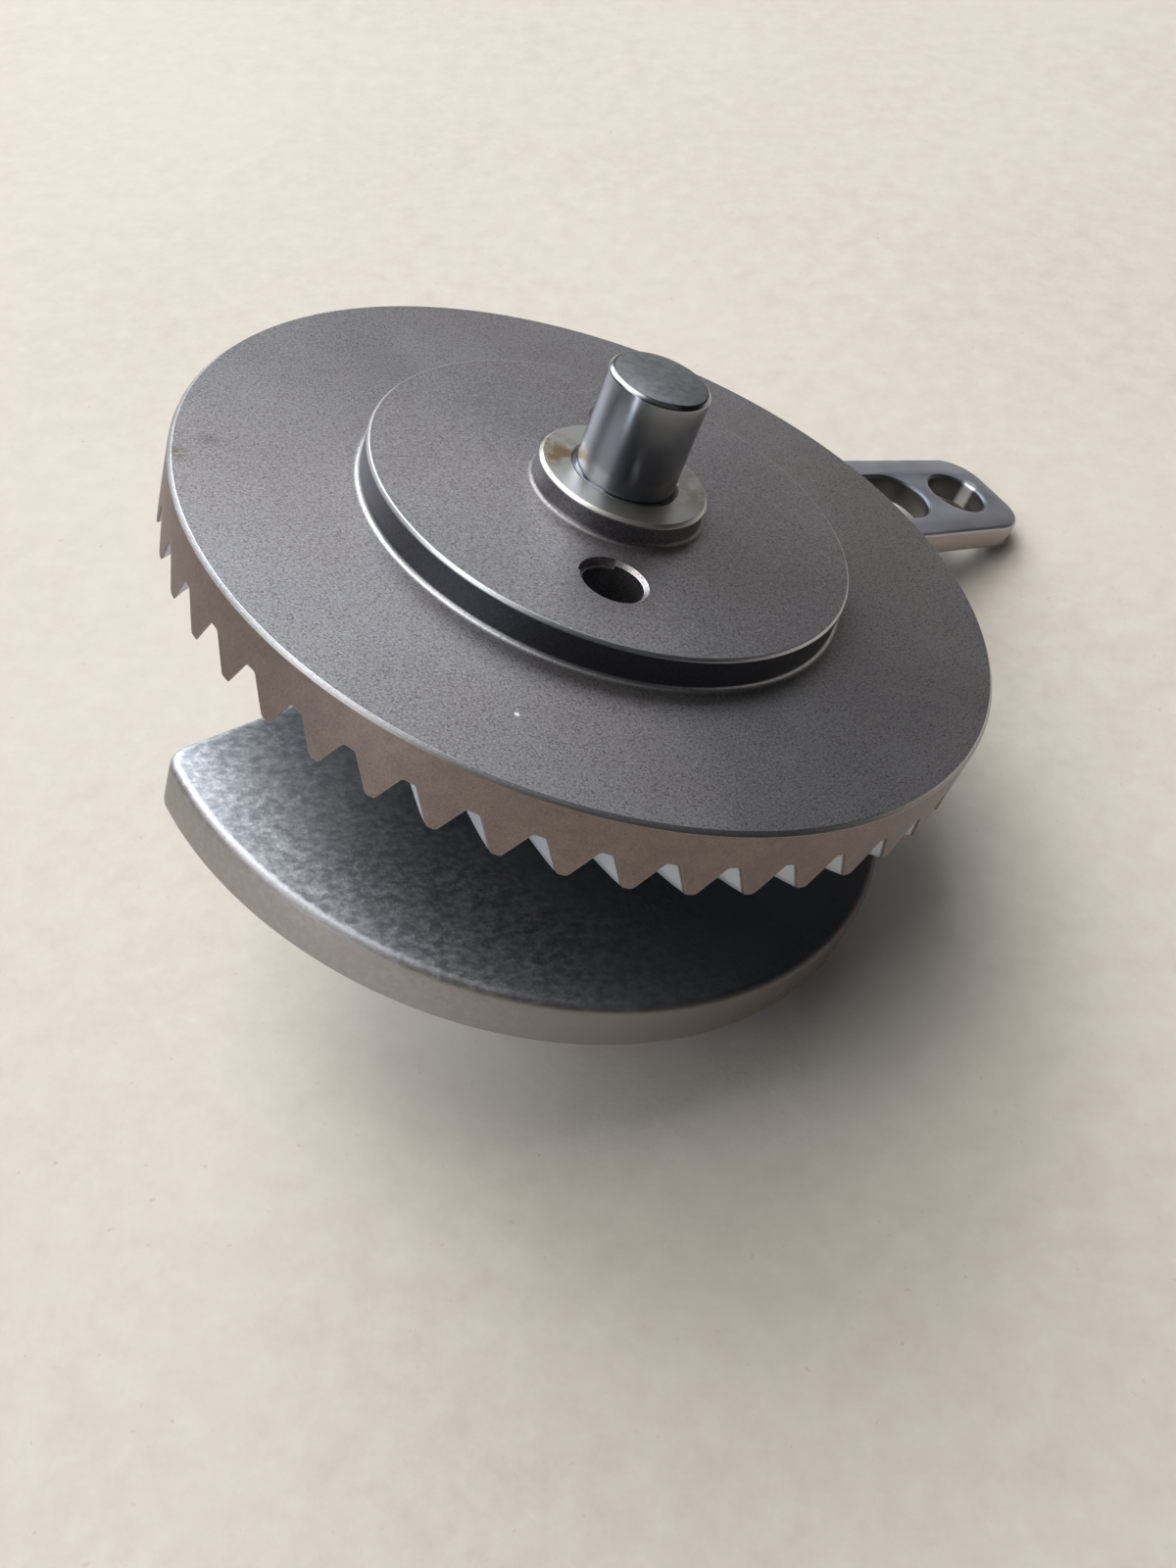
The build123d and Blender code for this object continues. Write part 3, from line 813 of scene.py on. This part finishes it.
def make_counterweight():
    """Half disc whose shoulders rise to a lobe around the crank pin."""
    radius = PLATE_RADIUS
    lobe = 10.5 * MM
    shoulder = 36.9 * MM
    slope = 0.294
    rise = 1.6 * MM
    corner_angle = math.asin((rise - slope * (radius - shoulder)) / radius)
    corner_x = radius * math.cos(corner_angle)
    corner_y = radius * math.sin(corner_angle)
    neck_y = rise + slope * (shoulder - lobe)
    right_side = rounded([
        (corner_x, corner_y - 12 * MM, 0),
        (corner_x, corner_y, 3.0 * MM),
        (lobe, neck_y, 6.0 * MM),
        (lobe, crank_y, 0),
    ], 12)
    right_side = [point for point in right_side[1:] if point.y >= corner_y - 3 * MM]
    top = [
        Vector((lobe * math.cos(a), crank_y + lobe * math.sin(a)))
        for a in (math.pi * step / 48 for step in range(1, 48))
    ]
    left_side = [Vector((-point.x, point.y)) for point in reversed(right_side)]
    ends = [math.atan2(left_side[-1].y, left_side[-1].x), math.atan2(right_side[0].y, right_side[0].x)]
    sweep = (ends[1] - ends[0]) % (2 * math.pi)
    arc = [
        radius * Vector((math.cos(ends[0] + sweep * k / 220), math.sin(ends[0] + sweep * k / 220)))
        for k in range(1, 220)
    ]
    outline = right_side + top + left_side + arc
    holes = [circle_points((0, 0), lower_seat_radius), circle_points((0, crank_y), journal_radius)]
    return plate("counterweight_plate", outline, holes, plate_low.z, plate_high.z, PLATE_EDGE)


def make_rod():
    """Tapered shank with a window and a small-end eye, joined to the bearing hub."""
    end_half = 7.8 * MM
    root_half = 9.8 * MM
    tip = rod_high.x
    side = (root_half - end_half) / eye.x
    tip_half = end_half - side * (tip - eye.x)
    outline = rounded([
        (0, crank_y - root_half, 0),
        (tip, crank_y - tip_half, 5.0 * MM),
        (tip, crank_y + tip_half, 5.0 * MM),
        (0, crank_y + root_half, 0),
    ], 16)
    arc = [math.pi * step / 24 for step in range(25)]
    bends = [WINDOW_HALF * Vector((math.sin(a), -math.cos(a))) for a in arc]
    window = [Vector((window_end, crank_y)) + bend for bend in bends]
    window += [Vector((WINDOW_START, crank_y)) - bend for bend in bends]
    holes = [window, circle_points((eye.x, crank_y), eye_radius)]
    shank = plate("rod_shank", outline, holes, shank_low, shank_high, ROD_EDGE)
    hub_low, hub_high = rod_low.z, rod_high.z
    cup_low, cup_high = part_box("needle_bearing_cup")
    bore = (cup_high.x - cup_low.x) / 2
    hub = lathe("rod_hub", [
        (bore, hub_low, 0.2 * MM),
        (ROD_HUB_RADIUS, hub_low, 0.6 * MM),
        (ROD_HUB_RADIUS, hub_high, 0.6 * MM),
        (bore, hub_high, 0.2 * MM),
    ], (0, crank_y), 160)
    inside = ROD_HUB_RADIUS - 0.3 * MM
    cutter = lathe("hub_cutter", [
        (CUTTER_CORE, hub_low - CUTTER_REACH, 0),
        (inside, hub_low - CUTTER_REACH, 0),
        (inside, hub_high + CUTTER_REACH, 0),
        (CUTTER_CORE, hub_high + CUTTER_REACH, 0),
    ], (0, crank_y), 160, closed=False)
    cut(shank, [cutter])
    return shank, hub


gear = make_gear()
dress(gear, "gear", "rotor", "gear_steel", "drive_gear")

upper_pin = make_pin(
    "upper_arbor_skin", "upper_arbor_pin", journal_radius, 0, 0, True, seat_radius, 0
)
dress(upper_pin, "pin", "rotor", "pin_steel", "upper_arbor_pin")
lower_pin = make_pin(
    "lower_arbor_skin", "lower_arbor_pin", lower_radius, 0, 0, False, lower_seat_radius, plate_low.z
)
dress(lower_pin, "pin", "rotor", "pin_steel", "lower_arbor_pin")
crank_skin = make_pin("crank_pin_skin", "crank_pin", journal_radius, 0, crank_y, False)
dress(crank_skin, "pin", "rotor", "pin_steel", "crank_pin")

weight = make_counterweight()
dress(weight, "plate", "rotor", "tumbled_steel", "counterweight")

shank, hub = make_rod()
dress(shank, "rod", "rod", "rod_steel", "connecting_rod")
dress(hub, "rod", "rod", "rod_steel")

dress(make_cup(), "bearing", "rod", "bearing_steel", "needle_bearing_cup")
sleeve = make_ring("sleeve_skin", "bearing_sleeve", journal_radius)
dress(sleeve, "bearing", "rotor", "bearing_steel", "bearing_sleeve")
spacer = make_ring("spacer_skin", "plate_spacer", journal_radius, 0.3)
dress(spacer, "washer", "rotor", "spacer_steel", "plate_spacer")
upper_washer = make_ring("upper_washer_skin", "upper_thrust_washer", WASHER_BORE)
dress(upper_washer, "washer", "upper_washer", "washer_steel", "upper_thrust_washer")
lower_washer = make_ring("lower_washer_skin", "lower_thrust_washer", WASHER_BORE)
dress(lower_washer, "washer", "lower_washer", "washer_steel", "lower_thrust_washer")
for index in range(1, 13):
    make_roller(index)
nodes["needle_cage"].data.materials.clear()
nodes["needle_cage"].data.materials.append(steel["cage"])


# ================= table, light and camera =================

# The assembly lies tilted about Y: the lower arbor's end, the counterweight's corner and the
# rod's end all touch the paper.
LEAN = math.radians(20.8)
up = Vector((-math.sin(LEAN), 0, math.cos(LEAN)))
camera_place = Vector((-81.7, -89.3, 64.0)) * MM
camera_aim = Vector((-4.9, -16.2, -23.5)) * MM
forward = (camera_aim - camera_place).normalized()
right = forward.cross(up).normalized()
ahead = up.cross(right).normalized()


def lowest_along(direction):
    """Furthest the shown object reaches against a direction."""
    graph = bpy.context.evaluated_depsgraph_get()
    reach = 1e9
    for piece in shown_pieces():
        shown = piece.evaluated_get(graph)
        world = shown.matrix_world
        reach = min(reach, min(direction.dot(world @ vertex.co) for vertex in shown.data.vertices))
    return reach


floor_level = lowest_along(up)


def on_table(across, away, height):
    """A place given to the right of, beyond and above the arbor, measured on the tilted table."""
    return right * across + ahead * away + up * (floor_level + height)


def basis(x_axis, y_axis, z_axis, origin):
    turn = Matrix((x_axis, y_axis, z_axis)).transposed().to_4x4()
    turn.translation = origin
    return turn


def make_paper():
    size = 1.6
    mesh = bpy.data.meshes.new("paper")
    corners = [(-size, -size, 0), (size, -size, 0), (size, size, 0), (-size, size, 0)]
    mesh.from_pydata(corners, [], [(0, 1, 2, 3)])
    paper = bpy.data.objects.new("paper", mesh)
    bpy.context.scene.collection.objects.link(paper)
    paper.matrix_world = basis(right, ahead, up, up * floor_level)
    mesh.materials.append(kraft_paper())


def soft_light(name, azimuth, elevation, distance, size, power, colour):
    """An area light aimed at the object, from an azimuth right of the far side and an elevation."""
    centre = on_table(0, 0, 30 * MM)
    level = distance * math.cos(math.radians(elevation))
    toward = right * math.sin(math.radians(azimuth)) + ahead * math.cos(math.radians(azimuth))
    place = centre + toward * level + up * distance * math.sin(math.radians(elevation))
    data = bpy.data.lights.new(name, "AREA")
    data.shape = "RECTANGLE"
    data.size, data.size_y = size
    data.energy = power
    data.color = colour
    light = bpy.data.objects.new(name, data)
    bpy.context.scene.collection.objects.link(light)
    light.location = place
    light.rotation_mode = "QUATERNION"
    light.rotation_quaternion = (centre - place).to_track_quat("-Z", "Y")


def make_lights():
    soft_light("window", -30, 41, 2.4, (1.6, 1.4), 31, (0.94, 0.97, 1.0))
    soft_light("low_window", -34, 22, 2.4, (1.4, 0.5), 9, (0.93, 0.97, 1.0))
    soft_light("ceiling", -50, 72, 2.4, (1.6, 1.4), 26, (1.0, 0.975, 0.93))
    soft_light("left_window", -115, 45, 2.4, (1.6, 1.3), 16, (0.97, 0.98, 1.0))
    soft_light("left_strip", -135, 10, 0.4, (0.045, 0.2), 0.17, (0.86, 0.93, 1.0))
    soft_light("far_wall", 8, 38, 2.4, (1.6, 1.3), 8, (0.95, 0.98, 1.0))
    soft_light("near_room", 120, 58, 2.4, (2.0, 1.6), 1.0, (0.98, 0.97, 0.96))
    world = bpy.data.worlds.new("room")
    bpy.context.scene.world = world
    world.use_nodes = True
    background = world.node_tree.nodes["Background"]
    background.inputs["Color"].default_value = (0.86, 0.90, 1.0, 1)
    background.inputs["Strength"].default_value = 0.01


def make_camera():
    data = bpy.data.cameras.new("camera")
    data.sensor_fit = "AUTO"
    data.sensor_width = 36
    data.lens = 33.5
    data.clip_start = 0.01
    camera = bpy.data.objects.new("camera", data)
    bpy.context.scene.collection.objects.link(camera)
    camera.matrix_world = basis(right, right.cross(forward), -forward, camera_place)
    bpy.context.scene.camera = camera


make_paper()
make_lights()
make_camera()
bpy.context.scene.view_settings.view_transform = "Standard"
